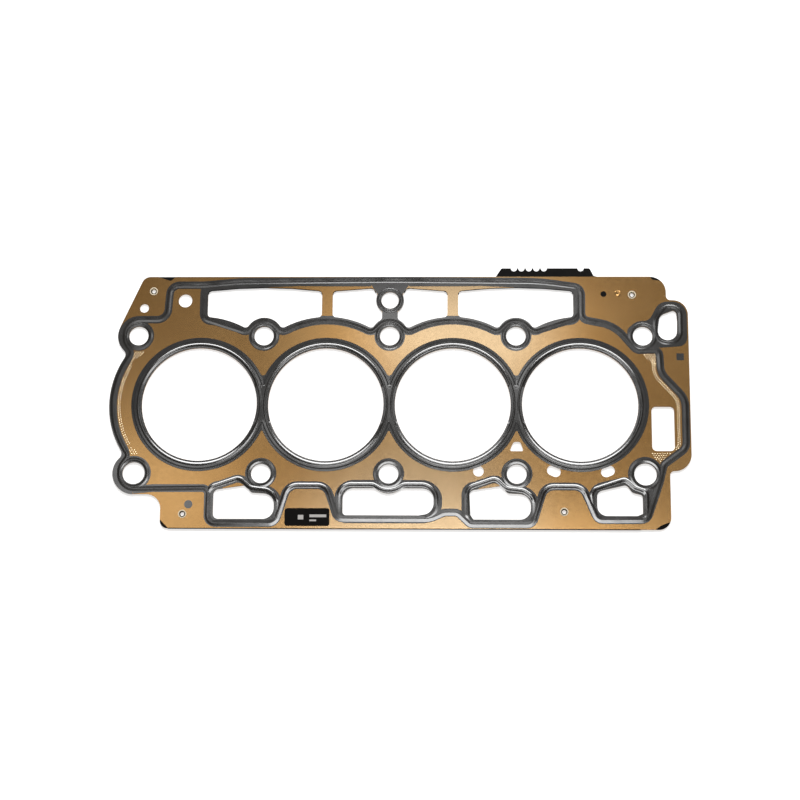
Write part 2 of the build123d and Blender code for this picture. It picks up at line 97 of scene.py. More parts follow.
def makeTintedSteelWithHighlight():
    material, tree, output, place = newMaterial("tintedSteelWithHighlight")
    cloud = addNode(tree, "ShaderNodeTexNoise", {
        "Vector": place, "Scale": tint["cloudScale"], "Detail": 3.0, "Roughness": 0.5})
    grain = addNode(tree, "ShaderNodeTexNoise", {"Vector": place, "Scale": tint["grainScale"], "Detail": 3.0})
    tones = ramp(tree, cloud.outputs["Fac"], [(0.3, srgb(tint["dark"])), (0.7, srgb(tint["pale"]))])
    colour = tones.outputs["Color"]
    # Painted highlight: towards these spots in the middle the colour is lightened.
    for spot, inner, outer in tint["highlightSpots"]:
        reach = addNode(tree, "ShaderNodeVectorMath", {0: place, 1: spot}, operation="DISTANCE")
        share = addNode(tree, "ShaderNodeMapRange", {
            "Value": reach.outputs["Value"], "From Min": inner, "From Max": outer,
            "To Min": tint["highlightShare"], "To Max": 0.0}, interpolation_type="SMOOTHSTEP")
        mix = addNode(tree, "ShaderNodeMix", {
            0: share.outputs[0], 6: colour, 7: srgb(tint["paintedHighlight"])}, data_type="RGBA")
        colour = mix.outputs[2]
    rough = ramp(tree, grain.outputs["Fac"], [
        (0.3, grey(tint["roughness"] - 0.01)), (0.7, grey(tint["roughness"] + 0.015))])
    shader = addNode(tree, "ShaderNodeBsdfPrincipled", {
        "Base Color": colour, "Metallic": 1.0, "Roughness": rough.outputs["Color"]})
    tree.links.new(shader.outputs[0], output.inputs["Surface"])
    return material


coat = {
    "colour": "#100F10",
    "worn": "#161516",
    "roughness": 0.14,
    "gloss": 2.2,  # index of refraction, the cured print shines
}


def makeCoat():
    material, tree, output, place = newMaterial("elastomerCoat")
    cloud = addNode(tree, "ShaderNodeTexNoise", {"Vector": place, "Scale": 90.0, "Detail": 4.0})
    colour = ramp(tree, cloud.outputs["Fac"], [(0.35, srgb(coat["colour"])), (0.7, srgb(coat["worn"]))])
    rough = ramp(tree, cloud.outputs["Fac"], [
        (0.3, grey(coat["roughness"] - 0.02)), (0.7, grey(coat["roughness"] + 0.04))])
    shader = addNode(tree, "ShaderNodeBsdfPrincipled", {
        "Base Color": colour.outputs["Color"], "Roughness": rough.outputs["Color"], "IOR": coat["gloss"]})
    tree.links.new(shader.outputs[0], output.inputs["Surface"])
    return material


def makePlain(name, colour, roughness, metallic=0.0, gloss=1.45):
    material, tree, output, place = newMaterial(name)
    cloud = addNode(tree, "ShaderNodeTexNoise", {"Vector": place, "Scale": 300.0, "Detail": 4.0})
    rough = ramp(tree, cloud.outputs["Fac"], [(0.3, grey(roughness)), (0.7, grey(roughness + 0.1))])
    shader = addNode(tree, "ShaderNodeBsdfPrincipled", {
        "Base Color": srgb(colour), "Roughness": rough.outputs["Color"], "Metallic": metallic, "IOR": gloss})
    tree.links.new(shader.outputs[0], output.inputs["Surface"])
    return material


tintedSteelWithHighlight = makeTintedSteelWithHighlight()
elastomer = makeCoat()
# The spacer's own black, also used as painted shade in the rivet throats and on the edge strips below.
blackSteelAndShade = makePlain("blackSpacerAndShade", "#0B0908", 0.55, gloss=1.2)
labelInk = makePlain("labelInk", "#0D0A09", 0.6, gloss=1.2)
labelMarks = makePlain("labelMarks", "#C9C6C4", 0.5)
rivetSteel = makePlain("rivetSteel", "#F2DCB4", 0.3, 1.0)
lipSteel = makePlain("lipSteel", "#F6E7CB", 0.5)
# Matte near-black: painted shade on the crease line, and the dark of the hatch dots.
creaseShadeAndHatchInk = makePlain("creaseShadeAndHatchInk", "#0A0909", 0.5)
# Paler steel on the embossed dots: painted highlight.
dotHighlightSteel = makePlain("dotHighlightSteel", "#FBE9C6", 0.22, 1.0)
print("materials made")


def dressNode(name, material):
    node = nodes[name]
    if not node.material_slots:
        node.data.materials.append(material)
    for slot in node.material_slots:
        slot.material = material


dressNode("upper_layer", tintedSteelWithHighlight)
dressNode("lower_layer", tintedSteelWithHighlight)
dressNode("core_layer", blackSteelAndShade)
dressNode("label_patch", labelInk)
for corner in ("upper_left", "upper_right", "lower_left", "lower_right"):
    dressNode("rivet_" + corner, rivetSteel)
print("sheets dressed")


def toMesh(name, shape):
    mesh = bpy.data.meshes.new(name)
    shape.to_mesh(mesh)
    shape.free()
    return mesh


def addPiece(mesh, material):
    piece = bpy.data.objects.new(mesh.name, mesh)
    bpy.context.scene.collection.objects.link(piece)
    mesh.materials.clear()
    mesh.materials.append(material)
    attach(piece, "root")
    return piece


fireRing = {
    "bore": 38.3,
    "pitch": 84.0,
    "centres": [-126.0, -42.0, 42.0, 126.0],
    "webs": [-84.0, 0.0, 84.0],
    "seat": 3.8,  # the solid's raised strip lies within this reach
    "profile": [  # distance from the bore's edge, rise over the coat's plane
        (0.0, -0.075), (0.8, -0.03), (2.4, 0.288), (3.4, 0.125), (6.9, -0.004),
    ],
    "rows": 40,
    "webRise": 0.15,  # floor between two rings
    "webReach": 42.2,
    "webFillet": 2.2,
    "webEase": 0.4,
    "step": 1.5,  # degrees
}
boltRow = 46.6  # distance of both bolt rows from the bores' line

flatCoat = {
    "sheetTop": 1.55 * mm,
    "coatTop": 1.65 * mm,  # beads stand on this plane
    "undersideTop": 0.1 * mm,
    "undersideShare": 0.95,  # depth of the print below, against the one above
}


def mergedCopy(name):
    shape = bmesh.new()
    shape.from_mesh(nodes[name].data)
    bmesh.ops.remove_doubles(shape, verts=shape.verts, dist=1e-7)
    return shape


def boreDistance(x, y):
    return min(math.hypot(x - centre, y) for centre in fireRing["centres"])


def makeFlatCoat():
    shape = mergedCopy("top_sealing_print")
    for vert in shape.verts:
        vert.co.z = min(vert.co.z, flatCoat["coatTop"])
        onBead = boreDistance(vert.co.x / mm, vert.co.y / mm) < fireRing["bore"] + fireRing["seat"]
        if onBead and vert.co.z > flatCoat["sheetTop"] + 0.02 * mm:
            vert.co.z = flatCoat["sheetTop"] + 0.01 * mm  # sunk under the modelled ring
    bmesh.ops.dissolve_degenerate(shape, dist=1e-7, edges=shape.edges)
    piece = addPiece(toMesh("coatFlat", shape), elastomer)
    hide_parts("top_sealing_print")


def makeUndersideCoat():
    shape = mergedCopy("top_sealing_print")
    for vert in shape.verts:
        rise = min(vert.co.z, flatCoat["coatTop"]) - flatCoat["sheetTop"]
        vert.co.z = flatCoat["undersideTop"] - rise * flatCoat["undersideShare"]
    bmesh.ops.dissolve_degenerate(shape, dist=1e-7, edges=shape.edges)
    bmesh.ops.reverse_faces(shape, faces=shape.faces)
    addPiece(toMesh("coatUnderside", shape), elastomer)


makeFlatCoat()
makeUndersideCoat()
print("flat coats made")


def tracePath(corners, closed, step=0.8):
    count = len(corners)
    points = []
    for i in range(count):
        x, y, radius = corners[i]
        here = Vector((x, y))
        if not closed and i in (0, count - 1):
            points.append(here)
            continue
        before = Vector(corners[i - 1][:2]) - here
        after = Vector(corners[(i + 1) % count][:2]) - here
        a, b = before.normalized(), after.normalized()
        turn = math.pi - a.angle(b)
        if radius <= 0 or turn < 0.01:
            points.append(here)
            continue
        reach = radius * math.tan(turn / 2)
        start, end = here + a * reach, here + b * reach
        middle = here + (a + b).normalized() * (radius / math.cos(turn / 2))
        pieces = max(4, math.ceil(radius * turn / step))
        first = math.atan2(start.y - middle.y, start.x - middle.x)
        sweep = math.atan2(end.y - middle.y, end.x - middle.x) - first
        sweep = (sweep + math.pi) % (2 * math.pi) - math.pi
        for k in range(pieces + 1):
            angle = first + sweep * k / pieces
            points.append(middle + radius * Vector((math.cos(angle), math.sin(angle))))
    return points


beadForm = {
    "ease": 0.2,  # an even slope with a short round foot and crest
    "sink": 0.004,  # the foot starts just under the coat
    "fade": 4,  # points over which an open end rises
}


def flankShare(share):
    ease = beadForm["ease"]
    if share < ease:
        return share * share / (2 * ease * (1 - ease))
    if share > 1 - ease:
        return 1 - (1 - share) ** 2 / (2 * ease * (1 - ease))
    return (share - ease / 2) / (1 - ease)


def sweepBead(shape, points, closed, width, rise, base, rows=14, lean=None):
    count = len(points)
    rings = []
    for i, here in enumerate(points):
        before = points[i - 1] if closed or i else here
        after = points[(i + 1) % count] if closed or i < count - 1 else here
        along = (after - before).normalized()
        across = Vector((-along.y, along.x))
        height = rise(here) if callable(rise) else rise
        breadth = width(here) if callable(width) else width
        if not closed:
            height *= min(1.0, (min(i, count - 1 - i) + 0.5) / beadForm["fade"])
        crest = lean(here) * across.y if lean else 0.0
        ring = []
        for k in range(rows + 1):
            share = 2 * k / rows - 1
            spot = here + across * (share * breadth / 2)
            near = (1 - share) / (1 - crest) if share > crest else (1 + share) / (1 + crest)
            lift = height * flankShare(near) - beadForm["sink"]
            ring.append(shape.verts.new((spot.x * mm, spot.y * mm, base + lift * mm)))
        rings.append(ring)
    for i in range(count if closed else count - 1):
        one, two = rings[i], rings[(i + 1) % count]
        for k in range(rows):
            shape.faces.new((one[k], two[k], two[k + 1], one[k + 1]))


def finishBead(name, shape):
    bmesh.ops.recalc_face_normals(shape, faces=shape.faces)
    mesh = toMesh(name, shape)
    if sum(p.normal.z for p in mesh.polygons) < 0:
        mesh.flip_normals()
    mesh.shade_smooth()
    addPiece(mesh, elastomer)


def faceUp(shape):
    for face in shape.faces:
        face.normal_update()
        if face.normal.z < -0.5:
            face.normal_flip()


def circlePoints(x, y, radius, count):
    angles = [2 * math.pi * k / count for k in range(count)]
    return [Vector((x + radius * math.cos(angle), y + radius * math.sin(angle))) for angle in angles]


def smoothStep(value):
    value = min(1.0, max(0.0, value))
    return value * value * (3 - 2 * value)


def ringRise(reach):
    profile = fireRing["profile"]
    for (startReach, startRise), (endReach, endRise) in zip(profile, profile[1:]):
        if reach <= endReach:
            share = (reach - startReach) / (endReach - startReach)
            if endReach < profile[-1][0]:
                share = smoothStep(share)  # the outermost stretch falls evenly
            return startRise + (endRise - startRise) * share
    return profile[-1][1]


def webFloor(x, y):
    fillet, outer = fireRing["webFillet"], fireRing["webReach"]
    half = fireRing["pitch"] / 2
    tip = math.sqrt((outer + fillet) ** 2 - half ** 2)
    web = min(fireRing["webs"], key=lambda centre: abs(x - centre))
    along, up = abs(x - web), abs(y)
    if up > tip or along > half * (1 - up / tip):
        return -1.0
    away = math.hypot(along, up - tip) - fillet
    ease = fireRing["webEase"]
    return fireRing["webRise"] * smoothStep((away + ease) / (2 * ease))


def makeFireRings():
    shape = bmesh.new()
    rows, bore = fireRing["rows"], fireRing["bore"]
    half = fireRing["pitch"] / 2
    base = flatCoat["coatTop"]
    reach = fireRing["profile"][-1][0]
    spots = int(360 / fireRing["step"])
    for i, centre in enumerate(fireRing["centres"]):
        rings = []
        for k in range(spots):
            angle = 2 * math.pi * k / spots
            c, s = math.cos(angle), math.sin(angle)
            end = bore + reach
            hasWeb = (c > 0 and i < 3) or (c < 0 and i > 0)
            if hasWeb and abs(c) * end > half:
                end = half / abs(c)
            ring = [shape.verts.new(((centre + bore * c) * mm, bore * s * mm, flatCoat["sheetTop"]))]
            for row in range(rows + 1):
                r = bore + (end - bore) * row / rows
                x, y = centre + r * c, r * s
                rise = max(ringRise(r - bore), webFloor(x, y))
                ring.append(shape.verts.new((x * mm, y * mm, base + rise * mm)))
            rings.append(ring)
        for k in range(spots):
            one, two = rings[k], rings[(k + 1) % spots]
            for row in range(rows + 1):
                shape.faces.new((one[row], one[row + 1], two[row + 1], two[row]))
    bmesh.ops.remove_doubles(shape, verts=shape.verts, dist=2e-6)
    finishBead("fireRings", shape)


hatch = {
    "reaches": (44.05, 44.6, 45.1),
    "pitch": 1.15,
    "radius": 0.32,
    "height": 0.055,
    "webReach": 45.4,  # no dot lies closer than this to two bores
    "holes": [(58.9, -44.8, 4.4), (108.2, -44.7, 5.6), (143.5, -44.8, 5.6), (84.0, -28.6, 5.5)],
}


def addDome(shape, x, y, radius, height, base, sides=6):
    rim = []
    for k in range(sides):
        angle = 2 * math.pi * (k + 0.5) / sides
        rimX, rimY = x + radius * math.cos(angle), y + radius * math.sin(angle)
        rim.append(shape.verts.new((rimX * mm, rimY * mm, base - 0.01 * mm)))
    top = shape.verts.new((x * mm, y * mm, base + height * mm))
    for k in range(sides):
        shape.faces.new((rim[k], rim[(k + 1) % sides], top))


def makeHatch():
    shape = bmesh.new()
    for centre in fireRing["centres"]:
        for row, r in enumerate(hatch["reaches"]):
            count = int(2 * math.pi * r / hatch["pitch"])
            base = flatCoat["coatTop"] + ringRise(r - fireRing["bore"]) * mm
            for k in range(count):
                angle = 2 * math.pi * (k + 0.5 * row) / count
                x, y = centre + r * math.cos(angle), r * math.sin(angle)
                inHole = any(math.hypot(x - a, y - b) < c for a, b, c in hatch["holes"])
                inWeb = sum(math.hypot(x - other, y) < hatch["webReach"] for other in fireRing["centres"]) > 1
                if not inHole and not inWeb:
                    addDome(shape, x, y, hatch["radius"], hatch["height"], base)
    addPiece(toMesh("ringHatch", shape), creaseShadeAndHatchInk)


edgeBead = {
    "width": 3.6,
    "height": 0.115,
    "steep": (3.5, 0.28),  # width and height over the lower passages
    "low": (4.4, 0.15),  # along the bottom edge
    "top": (3.5, 0.15),  # along the top edge, where the crest leans inwards
    "topLean": -0.31,  # share of the half width, towards the back edge when positive
    "archLean": 0.26,
    "spans": {  # axis, start and length of each blend, which falls where the length is negative
        "steep": [("y", -70.0, 9.0), ("y", -38.0, -8.0), ("x", -119.0, 4.0), ("x", 174.0, -5.0)],
        "low": [("y", -66.0, -7.0)],
        "top": [("y", 72.0, 6.0)],
        "topLean": [("y", 78.0, 4.0)],
        "archLean": [("y", -66.0, 6.0), ("y", -42.0, -5.0)],
    },
    "path": [  # corner's x, y and the radius of its round
        (-149.2, 57.8, 7.5), (-147.7, 81.8, 6.5), (-125.0, 81.8, 60.0), (-100.0, 83.9, 150.0),
        (0, 84.9, 1500.0), (100.0, 83.9, 150.0), (127.8, 80.0, 6.0), (127.6, 58.1, 5.0),
        (149.5, 53.6, 25.0), (163.6, 36.8, 5.0), (178.6, 37.3, 4.0), (179.4, 21.3, 12.0),
        (195.1, 4.0, 14.0), (195.0, -29.1, 8.0), (180.0, -40.2, 4.0), (177.2, -51.5, 30.0),
        (168.4, -76.7, 5.0), (136.4, -76.9, 5.0), (126.8, -54.9, 8.5), (102.1, -54.8, 8.5),
        (94.1, -80.0, 5.0), (53.6, -80.0, 4.0), (45.4, -72.2, 5.5), (36.5, -72.2, 8.0),
        (27.5, -76.4, 15.0), (-33.2, -76.4, 5.0), (-40.6, -54.4, 8.5), (-65.9, -54.4, 8.5),
        (-73.9, -79.6, 6.0), (-118.2, -79.6, 5.0), (-118.3, -56.5, 4.0), (-177.4, -57.4, 10.3),
        (-177.2, -42.3, 9.3), (-171.8, -34.8, 3.5), (-195.2, 0, 57.4), (-171.8, 34.8, 3.5),
        (-177.2, 42.3, 9.3), (-177.6, 57.8, 10.3),
    ],
}
upperBead = {
    "width": 3.8,
    "height": 0.125,
    "path": [
        (-125.4, 79.6, 0), (-125.4, 58.6, 5.0), (-95.9, 48.9, 5.0), (-84.0, 60.75, 10.0),
        (-71.7, 48.5, 5.0), (-42.0, 63.6, 56.7), (-12.3, 48.5, 5.0), (0, 60.75, 10.0),
        (12.3, 48.5, 5.0), (42.0, 63.6, 56.7), (71.7, 48.5, 5.0), (84.0, 60.75, 10.0),
        (95.9, 48.9, 5.0), (125.4, 58.6, 5.0), (125.4, 79.6, 0),
    ],
}
lowerBeads = {
    "width": 3.2,
    "height": 0.15,
    "besideBolt": [  # measured from the bolt's centre
        (-14.0, -2.8, 5.0), (-6.6, -9.6, 6.0), (4.5, -11.0, 6.0), (11.0, -15.6, 7.0), (11.2, -29.0, 0),
    ],
    "firstStart": [(-34.3, -15.0, 0), (-34.3, -9.8, 6.0)],
    "secondStart": [(-29.0, -33.2, 0), (-32.6, -28.0, 5.0), (-32.7, -9.4, 6.0)],
    "centre": [
        (-32.4, -74.0, 0), (-32.4, -53.8, 8.0), (-10.0, -53.8, 6.0), (-3.6, -57.5, 12.0), (3.6, -57.5, 12.0),
        (10.0, -53.8, 6.0), (31.4, -53.8, 10.0), (31.4, -74.6, 9.0), (20.0, -76.4, 0),
    ],
    "byDowel": [
        (133.6, -70.0, 0), (132.2, -57.4, 5.0), (154.6, -49.9, 4.0), (160.8, -55.4, 5.0),
        (168.4, -58.2, 4.0), (168.4, -74.0, 3.0), (162.0, -76.7, 0),
    ],
    "teardrop": [
        (176.4, 42.0, 7.5), (176.4, 58.2, 10.0), (183.2, 67.0, 4.5), (193.3, 66.9, 6.0), (193.2, 41.8, 8.0),
    ],
}


def spanShare(spot, name):
    share = 1.0
    for axis, start, length in edgeBead["spans"][name]:
        share *= smoothStep((getattr(spot, axis) - start) / length)
    return share


def runMix(spot, index):
    plain = (edgeBead["width"], edgeBead["height"])[index]
    value = plain
    for name in ("steep", "low", "top"):
        value += spanShare(spot, name) * (edgeBead[name][index] - plain)
    return value


def runWidth(spot):
    return runMix(spot, 0)


def runHeight(spot):
    return runMix(spot, 1)


def runLean(spot):
    return sum(edgeBead[name] * spanShare(spot, name) for name in ("topLean", "archLean"))


def makeBeads():
    base = flatCoat["coatTop"]
    shape = bmesh.new()
    sweepBead(shape, tracePath(edgeBead["path"], True), True, runWidth, runHeight, base, lean=runLean)
    finishBead("edgeBead", shape)
    shape = bmesh.new()
    arches = tracePath(upperBead["path"], False)
    sweepBead(shape, arches, False, upperBead["width"], upperBead["height"], base)
    finishBead("upperPassageBead", shape)
    shape = bmesh.new()
    runs = []
    for boltX, start in ((fireRing["webs"][0], "firstStart"), (fireRing["webs"][2], "secondStart")):
        corners = lowerBeads[start] + lowerBeads["besideBolt"]
        runs.append([(boltX + x, y - boltRow, r) for x, y, r in corners])
    for corners in runs + [lowerBeads["centre"], lowerBeads["byDowel"]]:
        sweepBead(shape, tracePath(corners, False), False, runWidth, runHeight, base, lean=runLean)
    drop = tracePath(lowerBeads["teardrop"], True)
    sweepBead(shape, drop, True, lowerBeads["width"], lowerBeads["height"], base)
    finishBead("lowerPassageBeads", shape)


holeBeads = {
    "width": 2.9,
    "height": 0.14,
    "steps": 96,
    "rings": [(x, boltRow, 8.2) for x in (-168.0, -84.0, 0.0, 84.0, 168.0)]
    + [(x, -boltRow, 8.2) for x in fireRing["webs"]]
    + [(-168.0, -boltRow, 9.2), (168.0, -boltRow, 9.2), (0.0, 71.3, 7.5)],
}

webCrescent = {  # the small bright fold where two rings part
    "width": 1.9,
    "height": 0.24,
    "lift": 0.06 * mm,
    "path": [(-2.0, 13.3), (-1.2, 12.95), (0.0, 12.8), (1.2, 12.95), (2.0, 13.3)],
}


def makeWebCrescents():
    shape = bmesh.new()
    base = flatCoat["coatTop"] + webCrescent["lift"]
    for web in fireRing["webs"]:
        points = [Vector((web + x, y)) for x, y in webCrescent["path"]]
        sweepBead(shape, points, False, webCrescent["width"], webCrescent["height"], base, 8)
    finishBead("webCrescents", shape)


coatPatches = {
    "tips": [(1, 2.0), (-1, 0.9)],  # side of the web, fillet between the rings
    "rail": [(12.2, 82.1), (44.5, 82.1), (60.0, 81.1), (44.0, 80.9), (12.9, 80.9)],
    "overlap": 0.4,
    "sink": 0.002 * mm,  # keeps the patch just under the bands it meets
    "steps": 12,
}


def makeCoatPatches():
    rail = coatPatches["rail"]
    outlines = [rail, [(-x, y) for x, y in rail]]
    half, outer = fireRing["pitch"] / 2, fireRing["bore"] + fireRing["profile"][-1][0]
    foot = math.sqrt(outer ** 2 - half ** 2) - coatPatches["overlap"]
    steps = coatPatches["steps"]
    for web in fireRing["webs"]:
        for side, fillet in coatPatches["tips"]:
            up = math.sqrt((outer + fillet) ** 2 - half ** 2)
            lean = math.atan2(up, half)
            outline = [(web, side * foot)]
            for k in range(steps + 1):
                angle = math.pi + lean + (math.pi - 2 * lean) * k / steps
                outline.append((web + fillet * math.cos(angle), side * (up + fillet * math.sin(angle))))
            outlines.append(outline)
    shape = bmesh.new()
    top, low = flatCoat["coatTop"] - coatPatches["sink"], flatCoat["sheetTop"]
    for outline in outlines:
        shape.faces.new([shape.verts.new((x * mm, y * mm, top)) for x, y in outline])
        edge = [[shape.verts.new((x * mm, y * mm, z)) for x, y in outline] for z in (top, low)]
        for k in range(len(outline)):
            shape.faces.new((edge[0][k - 1], edge[0][k], edge[1][k], edge[1][k - 1]))
    faceUp(shape)
    addPiece(toMesh("coatPatches", shape), elastomer)


def makeHoleBeads():
    shape = bmesh.new()
    for x, y, r in holeBeads["rings"]:
        ring = circlePoints(x, y, r, holeBeads["steps"])
        sweepBead(shape, ring, True, holeBeads["width"], holeBeads["height"], flatCoat["coatTop"], 10)
    finishBead("holeBeads", shape)


# A matte dark line along the rings' crease: painted shade.
creaseShadeLine = {
    "radius": 43.35,
    "fillet": 0.6,
    "width": 0.9,
    "height": 0.03,
    "lift": 0.028,
    "ringSteps": 120,
    "filletSteps": 8,
}


def makeCreaseShadeLine():
    shape = bmesh.new()
    radius, fillet, half = creaseShadeLine["radius"], creaseShadeLine["fillet"], fireRing["pitch"] / 2
    up = math.sqrt((radius + fillet) ** 2 - half ** 2)
    lean = math.atan2(up, half)  # where the arc meets the fillet
    ringSteps, filletSteps = creaseShadeLine["ringSteps"], creaseShadeLine["filletSteps"]
    upper = []
    for i, centre in enumerate(fireRing["centres"]):
        first = math.pi - lean if i else math.pi
        last = lean if i < 3 else 0.0
        for k in range(ringSteps + 1):
            angle = first + (last - first) * k / ringSteps
            upper.append(Vector((centre + radius * math.cos(angle), radius * math.sin(angle))))
        if i < 3:
            for k in range(1, filletSteps):
                angle = math.pi + lean + (math.pi - 2 * lean) * k / filletSteps
                turn = Vector((math.cos(angle), math.sin(angle)))
                upper.append(Vector((centre + half, up)) + fillet * turn)
    lower = [Vector((spot.x, -spot.y)) for spot in reversed(upper[1:-1])]
    base = flatCoat["coatTop"] + (ringRise(radius - fireRing["bore"]) + creaseShadeLine["lift"]) * mm
    sweepBead(shape, upper + lower, True, creaseShadeLine["width"], creaseShadeLine["height"], base, 2)
    addPiece(toMesh("creaseShadeLine", shape), creaseShadeAndHatchInk)


makeWebCrescents()
makeCoatPatches()
makeFireRings()
makeCreaseShadeLine()
makeHatch()
makeBeads()
makeHoleBeads()
print("beads made")


honeycomb = {
    "pitch": 1.6,
    "rowGap": 1.25,
    "radius": 0.46,
    "height": 0.062,
    "leftArc": (-126.0, 0.0, (54.0, 52.75), 31.0),  # centre, radii, half angle
    "rightPath": [
        (175.2, 30.0, 0), (175.4, 20.4, 12.0), (191.0, 3.0, 12.0), (191.0, -28.6, 4.0), (187.5, -30.6, 0),
    ],
    "fields": [
        [(-172.0, 35.5), (-164.5, 35.5), (-166.5, 32.0), (-172.0, 29.0)],
        [(-172.0, -35.0), (-164.5, -34.5), (-168.0, -31.0), (-172.0, -28.5)],
        [(166.5, 35.0), (176.2, 35.0), (176.4, 25.0)],
        [(170.5, -32.0), (185.5, -32.0), (177.6, -39.2)],
    ],
}


def insideField(corners, x, y):
    signs = []
    for (ax, ay), (bx, by) in zip(corners, corners[1:] + corners[:1]):
        signs.append((bx - ax) * (y - ay) - (by - ay) * (x - ax) > 0)
    return all(signs) or not any(signs)


def makeHoneycomb():
    pitch, gap, base = honeycomb["pitch"], honeycomb["rowGap"], flatCoat["sheetTop"]
    spots = []
    cx, cy, radii, half = honeycomb["leftArc"]
    for row, r in enumerate(radii):
        steps = int(math.radians(half) * r / pitch)
        for k in range(-steps, steps + 1):
            angle = math.pi + (k + 0.5 * row) * pitch / r
            spots.append((cx + r * math.cos(angle), cy + r * math.sin(angle)))
    points = tracePath(honeycomb["rightPath"], False, 0.3)
    travelled, row = 0.0, 0
    for one, two in zip(points, points[1:]):
        length = (two - one).length
        while travelled < length:
            across = Vector((one.y - two.y, two.x - one.x)).normalized()
            spot = one + (two - one) * (travelled / length) + across * (row % 2 - 1) * gap
            spots.append((spot.x, spot.y))
            travelled += pitch / 2
            row += 1
        travelled -= length
    for corners in honeycomb["fields"]:
        xs, ys = [c[0] for c in corners], [c[1] for c in corners]
        for j in range(int((max(ys) - min(ys)) / gap) + 1):
            y = min(ys) + j * gap
            for i in range(int((max(xs) - min(xs)) / pitch) + 1):
                x = min(xs) + (i + 0.5 * (j % 2)) * pitch
                if insideField(corners, x, y):
                    spots.append((x, y))
    shape = bmesh.new()
    for x, y in spots:
        addDome(shape, x, y, honeycomb["radius"], honeycomb["height"], base, sides=4)
    # the dots are drawn in the paler steel, a painted highlight
    addPiece(toMesh("honeycombDots", shape), dotHighlightSteel)


makeHoneycomb()
print("honeycomb made")


rivets = {
    "places": {
        "upper_left": (-159.0, 77.5), "upper_right": (161.4, 75.0),
        "lower_left": (-134.9, -73.7), "lower_right": (114.7, -71.6),
    },
    "top": 1.7 * mm,
    "lip": [  # radius, height over the flange
        (2.7, -0.02), (2.66, 0.02), (2.45, 0.05), (2.2, 0.05), (2.02, 0.015),
    ],
    # the throat is drawn in the black spacer's material: painted shade down the rivet's bore
    "throat": [(2.04, 0.012), (1.75, 0.008), (1.42, 0.006), (1.34, -0.05), (1.33, -1.6)],
    "spots": 48,
}


def makeTurned(name, x, y, section, base, spots, material, slot):
    shape = bmesh.new()
    rings = []
    for k in range(spots):
        angle = 2 * math.pi * k / spots
        c, s = math.cos(angle), math.sin(angle)
        spotsHere = [((x + r * c) * mm, (y + r * s) * mm, base + z * mm) for r, z in section]
        rings.append([shape.verts.new(spot) for spot in spotsHere])
    for k in range(spots):
        one, two = rings[k], rings[(k + 1) % spots]
        for row in range(len(section) - 1):
            shape.faces.new((one[row], two[row], two[row + 1], one[row + 1]))
    mesh = toMesh(name, shape)
    mesh.shade_smooth()
    addPiece(mesh, material)


# Each rivet gets a pale lip and a throat in painted shade.
for corner, (x, y) in rivets["places"].items():
    for part, finish in (("Lip", lipSteel), ("Throat", blackSteelAndShade)):
        makeTurned("rivet" + part + "_" + corner, x, y, rivets[part.lower()], rivets["top"],
                   rivets["spots"], finish, "rivet_steel")

dimple = {
    "place": (152.0, 76.0),
    "spots": 40,
    "section": [(2.15, 0.0), (2.0, 0.08), (1.8, 0.09), (1.2, 0.0), (0.6, -0.07), (0.02, -0.09)],
}
makeTurned("dimpleCup", *dimple["place"], dimple["section"], flatCoat["sheetTop"],
           dimple["spots"], tintedSteelWithHighlight, "tinted_steel")
print("rivets made")


labelPrint = {
    "low": 1.58,
    "high": 1.602,
    "marks": [  # centre x, centre y, length, height
        (-57.2, -75.6, 3.6, 3.0), (-45.9, -74.7, 11.0, 1.8), (-49.2, -77.7, 4.4, 1.1),
    ],
}


def addBox(shape, x, y, length, height, low, high):
    made = bmesh.ops.create_cube(shape, size=1.0)
    for vert in made["verts"]:
        vert.co.x = (x + vert.co.x * length) * mm
        vert.co.y = (y + vert.co.y * height) * mm
        vert.co.z = (low if vert.co.z < 0 else high) * mm


def makeLabelMarks():
    shape = bmesh.new()
    for x, y, length, height in labelPrint["marks"]:
        addBox(shape, x, y, length, height, labelPrint["low"], labelPrint["high"])
    addPiece(toMesh("labelMarks", shape), labelMarks)


makeLabelMarks()
print("label marks made")


rim = {  # a black strip a hair proud along the bottom edge: partly the black core's edge, partly painted shade on the wall that faces the camera
    "start": -144.0,
    "end": 164.0,
    "edge": -83.1,
    "width": 0.5,
    "low": 0.3,
    "high": 1.57,
}


def makeCoreEdgeShade():
    shape = bmesh.new()
    middle, length = (rim["start"] + rim["end"]) / 2, rim["end"] - rim["start"]
    addBox(shape, middle, rim["edge"], length, rim["width"], rim["low"], rim["high"])
    addPiece(toMesh("coreEdgeShade", shape), blackSteelAndShade)


passageCoreShades = {  # and inside the upper passages, along their top edges, likewise
    "width": 0.8,
    "height": 1.25 * mm,
    "paths": [
        [(9.6, 76.6), (10.7, 79.1), (12.93, 79.69), (36.05, 77.89), (38.0, 76.9), (38.45, 75.2)],
        [
            (45.55, 75.2), (46.0, 77.2), (47.85, 77.98), (66.0, 79.57), (84.0, 80.1),
            (102.0, 79.57), (120.0, 77.98), (121.7, 77.2), (122.2, 75.4),
        ],
    ],
}


def makePassageCoreShades():
    shape = bmesh.new()
    for path in passageCoreShades["paths"]:
        for side in (1, -1):
            points = [Vector((side * x, y)) for x, y in path]
            sweepBead(shape, points, False, passageCoreShades["width"], 0.0, passageCoreShades["height"], 2)
    faceUp(shape)
    addPiece(toMesh("passageCoreShades", shape), blackSteelAndShade)


makeCoreEdgeShade()
makePassageCoreShades()
print("core rims made")


cameraSpec = {
    "lens": 83.25,
    "turns": (-12.563, -1.684, -0.076),  # degrees about x, y and z
    "distance": 1222.917 * mm,
    "shift": (-7.186 * mm, -2.793 * mm),
}


